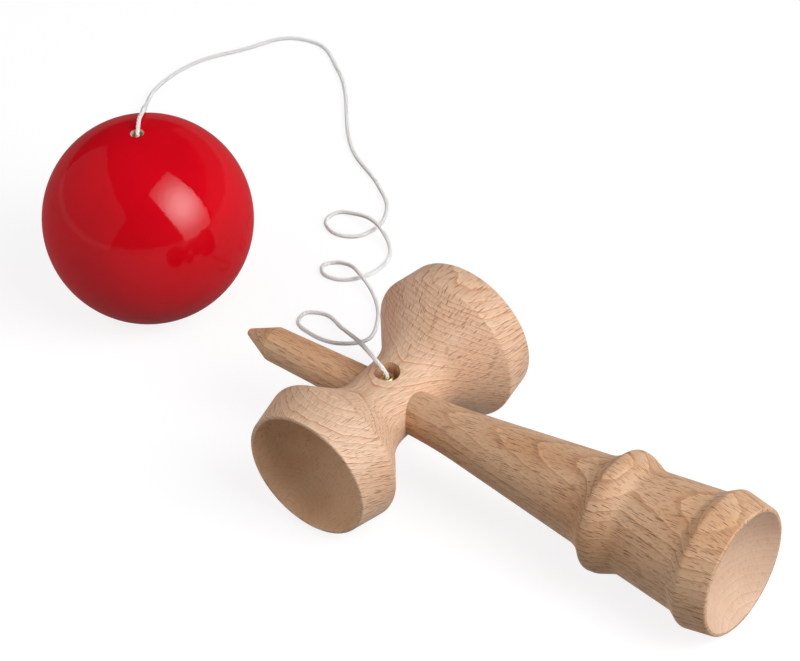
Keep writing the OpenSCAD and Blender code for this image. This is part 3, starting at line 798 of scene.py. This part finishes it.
def makeHandle(sizes):
    tipCentre = sizes["tipRound"] - sizes["tipReach"]
    half = math.radians(sizes["tipAngle"])
    tip = []
    for i in range(sizes["tipSteps"] + 1):
        a = (math.pi / 2 - half) * i / sizes["tipSteps"]
        tip.append((sizes["tipRound"] * math.sin(a), tipCentre - sizes["tipRound"] * math.cos(a)))
    coneEnd = tip[-1][1] + (sizes["spike"] / 2 - tip[-1][0]) / math.tan(half)
    cup = (sizes["mouth"], sizes["cupDepth"], sizes["baseReach"], 1)
    bowl = hollow(*cup)[::-1]
    # the outermost rows of a bowl give way to its rounded rim
    corners = ([tip[-1] + (0,), (sizes["spike"] / 2, coneEnd, sizes["spikeEdge"])]
               + sizes["corners"]
               + [(sizes["mouth"], sizes["baseReach"], sizes["mouthEdge"]), bowl[2] + (0,)])
    points = tip[:-1] + [tuple(p) for p in outline(corners)] + bowl[3:]
    handle = turned("handle", evenly(points, sizes["longest"]), handleFrame, sizes["around"],
                    [handleWood, handleCupWood], pick=insideCups([cup]))
    hole = rodCutter("handleHole", toyFrame, sizes["holeReach"],
                     sizes["stringHole"], sizes["stringHole"], sizes["holeSides"])
    drill(handle, [hole])
    return handle


handle = makeHandle(handleSizes)
print("handle turned")


# The cross piece, from the small cup to the big one; its bore widens with the handle's taper
crossSizes = {
    "corners": [
        (18.7, -35.2, 0.45), (20.95, -24, 1.5), (10.35, -10.7, 15.7),
        (10.35, 10.5, 15.7), (22.25, 25, 1.5), (20.7, 35.3, 0.45),
    ],
    "smallMouth": 17.7, "smallReach": 35.2, "smallDepth": 15,
    "bigMouth": 19.6, "bigReach": 35.3, "bigDepth": 14,
    "mouthEdge": 0.3, "around": 200, "longest": 1.2,
    "boreMiddle": 5.851, "boreSlope": 0.02408, "boreGap": 0.04, "boreSides": 120,
    "stringHole": 3.6, "holeSides": 72, "cutReach": 30,
}


def makeCrossPiece(sizes):
    smallCup = (sizes["smallMouth"], sizes["smallDepth"], -sizes["smallReach"], -1)
    bigCup = (sizes["bigMouth"], sizes["bigDepth"], sizes["bigReach"], 1)
    smallBowl = hollow(*smallCup)
    bigBowl = hollow(*bigCup)[::-1]
    smallRim = (sizes["smallMouth"], -sizes["smallReach"], sizes["mouthEdge"])
    bigRim = (sizes["bigMouth"], sizes["bigReach"], sizes["mouthEdge"])
    corners = [smallBowl[-3] + (0,), smallRim] + sizes["corners"] + [bigRim, bigBowl[2] + (0,)]
    points = smallBowl[:-3] + [tuple(p) for p in outline(corners)] + bigBowl[3:]
    piece = turned("crossPiece", evenly(points, sizes["longest"]), crossFrame, sizes["around"],
                   [crossWood, crossCupWood], pick=insideCups([smallCup, bigCup]))
    reach, middle = sizes["cutReach"], sizes["boreMiddle"]
    widen, gap = reach * sizes["boreSlope"], sizes["boreGap"]
    bore = rodCutter("crossBore", handleFrame, reach,
                     middle - widen + gap, middle + widen + gap, sizes["boreSides"])
    hole = rodCutter("crossHole", toyFrame, reach,
                     sizes["stringHole"], sizes["stringHole"], sizes["holeSides"])
    drill(piece, [bore, hole])
    return piece


crossPiece = makeCrossPiece(crossSizes)
print("cross piece turned")


# The ball, lacquered outside and raw inside its holes
ballSizes = {
    "radius": 30, "spikeMouth": 11.2, "spikeHole": 8.5, "wall": 39, "drillAngle": 59,
    "stringHole": 1.45, "bevel": 0.5, "mouthEdge": (0.15, 0.12), "lacquer": 0.02,
    "around": 192, "skinSteps": 128, "longest": 2.0,
}


def makeBall(sizes):
    big = sizes["radius"]
    mouthPlace = -math.sqrt(big ** 2 - sizes["spikeMouth"] ** 2)
    wallStart = mouthPlace + sizes["spikeMouth"] - sizes["spikeHole"]
    wallEnd = wallStart + sizes["wall"]
    drillTan = math.tan(math.radians(sizes["drillAngle"]))
    holeStart = wallEnd + (sizes["spikeHole"] - sizes["stringHole"]) / drillTan
    rim = sizes["stringHole"] + sizes["bevel"]
    rimPlace = math.sqrt(big ** 2 - rim ** 2)
    low, high = math.asin(mouthPlace / big), math.asin(rimPlace / big)
    skin = []
    for i in range(sizes["skinSteps"] + 1):
        a = low + (high - low) * i / sizes["skinSteps"]
        skin.append((big * math.cos(a), big * math.sin(a)))
    edgeIn, edgeUp = sizes["mouthEdge"]
    inside = [
        (sizes["stringHole"], rimPlace - sizes["bevel"]), (sizes["stringHole"], holeStart),
        (sizes["spikeHole"], wallEnd), (sizes["spikeHole"], wallStart),
        (sizes["spikeMouth"] - edgeIn, mouthPlace + edgeUp),
    ]
    points = evenly(skin + inside, sizes["longest"])

    def pick(a, b):
        return 0 if min(Vector(a).length, Vector(b).length) > big - sizes["lacquer"] else 1
    return turned("ball", points, ballFrame, sizes["around"], [redLacquer, rawBallWood], True, pick)


ball = makeBall(ballSizes)
print("ball turned")


# The wooden bead inside the ball, and the brass eyelet in the handle
beadSizes = {
    "radius": 4, "hole": 1.1, "edge": 0.3, "edgeSteps": 6, "place": 13.96,
    "around": 64, "steps": 32, "longest": 0.8,
}
eyeletSizes = {
    "place": 8, "outer": 1.45, "bore": 1.05, "roll": 0.4, "length": 7,
    "rollStart": -85, "rollTurn": 265, "rollSteps": 20, "around": 64, "longest": 0.6,
}


def makeBead(sizes):
    hole, edge = sizes["hole"], sizes["edge"]
    top = math.sqrt(sizes["radius"] ** 2 - (hole + edge) ** 2)
    bound = math.asin(top / sizes["radius"])
    points = []
    for i in range(sizes["steps"] + 1):
        a = -bound + 2 * bound * i / sizes["steps"]
        points.append((sizes["radius"] * math.cos(a), sizes["radius"] * math.sin(a)))
    points += roundCorner(points[-1], (hole, top), (hole, 0), edge, sizes["edgeSteps"])
    lowEdge = roundCorner((hole, 0), (hole, -top), points[0], edge, sizes["edgeSteps"])
    points += lowEdge[:-1]  # its end is where the outline began
    own = ballFrame @ Matrix.Translation((0, 0, sizes["place"]))
    return turned("bead", evenly(points, sizes["longest"]), own, sizes["around"], [beadWood], True)


def makeEyelet(sizes):
    points = [(sizes["bore"], -sizes["length"]), (sizes["outer"], -sizes["length"])]
    for i in range(sizes["rollSteps"] + 1):
        a = math.radians(sizes["rollStart"] + sizes["rollTurn"] * i / sizes["rollSteps"])
        points.append((sizes["outer"] + sizes["roll"] * math.cos(a), sizes["roll"] * math.sin(a)))
    own = toyFrame @ Matrix.Translation((0, 0, sizes["place"]))
    line = evenly(points, sizes["longest"])
    return turned("eyelet", line, own, sizes["around"], [rolledBrass], True)


bead = makeBead(beadSizes)
eyelet = makeEyelet(eyeletSizes)
print("bead and eyelet made")


# Pale floor that keeps the shadow, a bright softbox off the base end, dim ones left and behind
setting = {
    "floor": 12.0, "glow": 0.83, "paper": 0.26, "bounce": 0.24,
    "sky": 0.1, "skyLow": 0.2, "skySpan": (0.0, 0.6), "horizon": (0.1, 0.05),
    "aim": (-0.0914, 0.0118, 0.0278), "shineNearer": 0.01,
    "key": {
        "place": (0.65, 0.054, 0.478), "long": (0.56, 0.13, -0.818), "size": (0.578, 1.06),
        "core": 0.29, "edge": 0.1, "matt": 7.15, "shine": 22.5,
    },
    "left": {
        "place": (-0.806, -0.806, 0.624), "long": (0, 0, 1), "size": (3.0, 1.5),
        "core": 9.0, "edge": 1.0, "matt": 0.78, "shine": 0.6,
    },
    "back": {
        "place": (0.4, 1.33, 0.2), "long": (0, 0, 1), "size": (2.4, 1.0),
        "core": 9.0, "edge": 1.0, "matt": 0.5, "shine": 0.3,
    },
}


def raySeen(tree):
    ray = addNode(tree, "ShaderNodeLightPath").outputs
    direct = calc(tree, "MAXIMUM", ray["Is Camera Ray"], ray["Is Glossy Ray"])
    return calc(tree, "MAXIMUM", direct, ray["Is Transmission Ray"])


def addFloor():
    half = setting["floor"] / 2
    corners = [(-half, -half, 0), (half, -half, 0), (half, half, 0), (-half, half, 0)]
    mesh = bpy.data.meshes.new("floor")
    mesh.from_pydata(corners, [], [(0, 1, 2, 3)])
    material = bpy.data.materials.new("paleFloor")
    material.use_nodes = True
    tree = material.node_tree
    tree.nodes.clear()
    pale, grey = setting["paper"], setting["bounce"]
    paper = addNode(tree, "ShaderNodeBsdfDiffuse", {"Color": (pale, pale, pale, 1)})
    white = addNode(tree, "ShaderNodeEmission",
                    {"Color": (1, 1, 1, 1), "Strength": setting["glow"]})
    shown = addNode(tree, "ShaderNodeAddShader", {0: white.outputs[0], 1: paper.outputs[0]})
    table = addNode(tree, "ShaderNodeBsdfDiffuse", {"Color": (grey, grey, grey, 1)})
    both = addNode(tree, "ShaderNodeMixShader",
                   {0: raySeen(tree), 1: table.outputs[0], 2: shown.outputs[0]})
    addNode(tree, "ShaderNodeOutputMaterial", {"Surface": both.outputs[0]})
    floor = addPiece("floor", mesh, [material])


def addSky():
    world = bpy.data.worlds.new("studio")
    world.use_nodes = True
    tree = world.node_tree
    tree.nodes.clear()
    looking = addNode(tree, "ShaderNodeTexCoord").outputs["Generated"]
    rise = addNode(tree, "ShaderNodeSeparateXYZ", {0: looking}).outputs[2]
    dim = ramp(tree, rise, *setting["skySpan"], (setting["skyLow"], setting["sky"]))
    shown = calc(tree, "MULTIPLY", raySeen(tree), ramp(tree, rise, *setting["horizon"]))
    lift = calc(tree, "SUBTRACT", setting["glow"], dim)
    dim = calc(tree, "MULTIPLY_ADD", shown, lift, dim)
    glow = addNode(tree, "ShaderNodeBackground", {"Color": (1, 1, 1, 1), "Strength": dim})
    addNode(tree, "ShaderNodeOutputWorld", {"Surface": glow.outputs[0]})
    bpy.context.scene.world = world


# A softbox brightest in its middle: one lamp for matt surfaces, one for what gloss mirrors.
# The second stands nearer, because of two lamps in one place a ray meets only the first.
def addSoftbox(name, sizes):
    wide, high = sizes["size"]
    way = Vector(sizes["place"]).normalized()
    across = Vector(sizes["long"]).cross(way).normalized()
    turn = Matrix((across, way.cross(across), way)).transposed().to_4x4()
    for use in ("matt", "shine"):
        data = bpy.data.lights.new(name + use.capitalize(), "AREA")
        data.shape = "RECTANGLE"
        data.size, data.size_y = wide, high
        data.energy = sizes[use] * wide * high * math.pi
        data.use_nodes = True
        tree = data.node_tree
        spot = addNode(tree, "ShaderNodeNewGeometry").outputs["Parametric"]
        spot = vectorCalc(tree, "MULTIPLY", spot, (wide, high, 0))
        away = vectorCalc(tree, "DISTANCE", spot, (wide / 2, high / 2, 0), result=1)
        squared = calc(tree, "MULTIPLY", away, away)
        fall = calc(tree, "EXPONENT", calc(tree, "MULTIPLY", squared, -1 / sizes["core"] ** 2))
        glow = calc(tree, "MULTIPLY_ADD", fall, 1 - sizes["edge"], sizes["edge"])
        tree.links.new(glow, tree.nodes["Emission"].inputs["Strength"])
        lamp = bpy.data.objects.new(data.name, data)
        nearer = way * setting["shineNearer"] if use == "shine" else Vector()
        stand = Vector(sizes["place"]) - nearer
        lamp.matrix_world = Matrix.Translation(Vector(setting["aim"]) + stand) @ turn
        lamp.visible_camera = False
        lamp.visible_glossy = use == "shine"
        lamp.visible_diffuse = use == "matt"
        bpy.context.scene.collection.objects.link(lamp)


addFloor()
addSky()
addSoftbox("keySoftbox", setting["key"])
addSoftbox("backSoftbox", setting["back"])
addSoftbox("leftPanel", setting["left"])
bpy.context.scene.view_settings.view_transform = "Standard"
print("floor and lights set")


# Which body carries each piece, and which solid it stands for
for piece, body, node, finish in (
    (handle, "toy", "ken", "handle_wood"),
    (crossPiece, "toy", "sarado", "cross_wood"),
    (eyelet, "toy", "string_eyelet", "eyelet_brass"),
    (handleEnd, "toy", "string_handle_end", "string_cotton"),
    (ballEnd, "string_end", "string_ball_end", "string_cotton"),
    (bead, "bead", "bead", "bead_wood"),
    (ball, "ball", "ball", "ball_lacquer"),
):
    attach(piece, body)
    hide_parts(node)

# where the loose string leaves the table and rises to the ball; nothing here makes it lift with the
# ball
stringFollow = {"start": (-0.157, 0.1046, 0.0008), "end": (-0.18, 0.0759, 0.018)}
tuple(stringFollow["start"])
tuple(stringFollow["end"])
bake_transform(string)
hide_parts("string")

print("pieces carried")
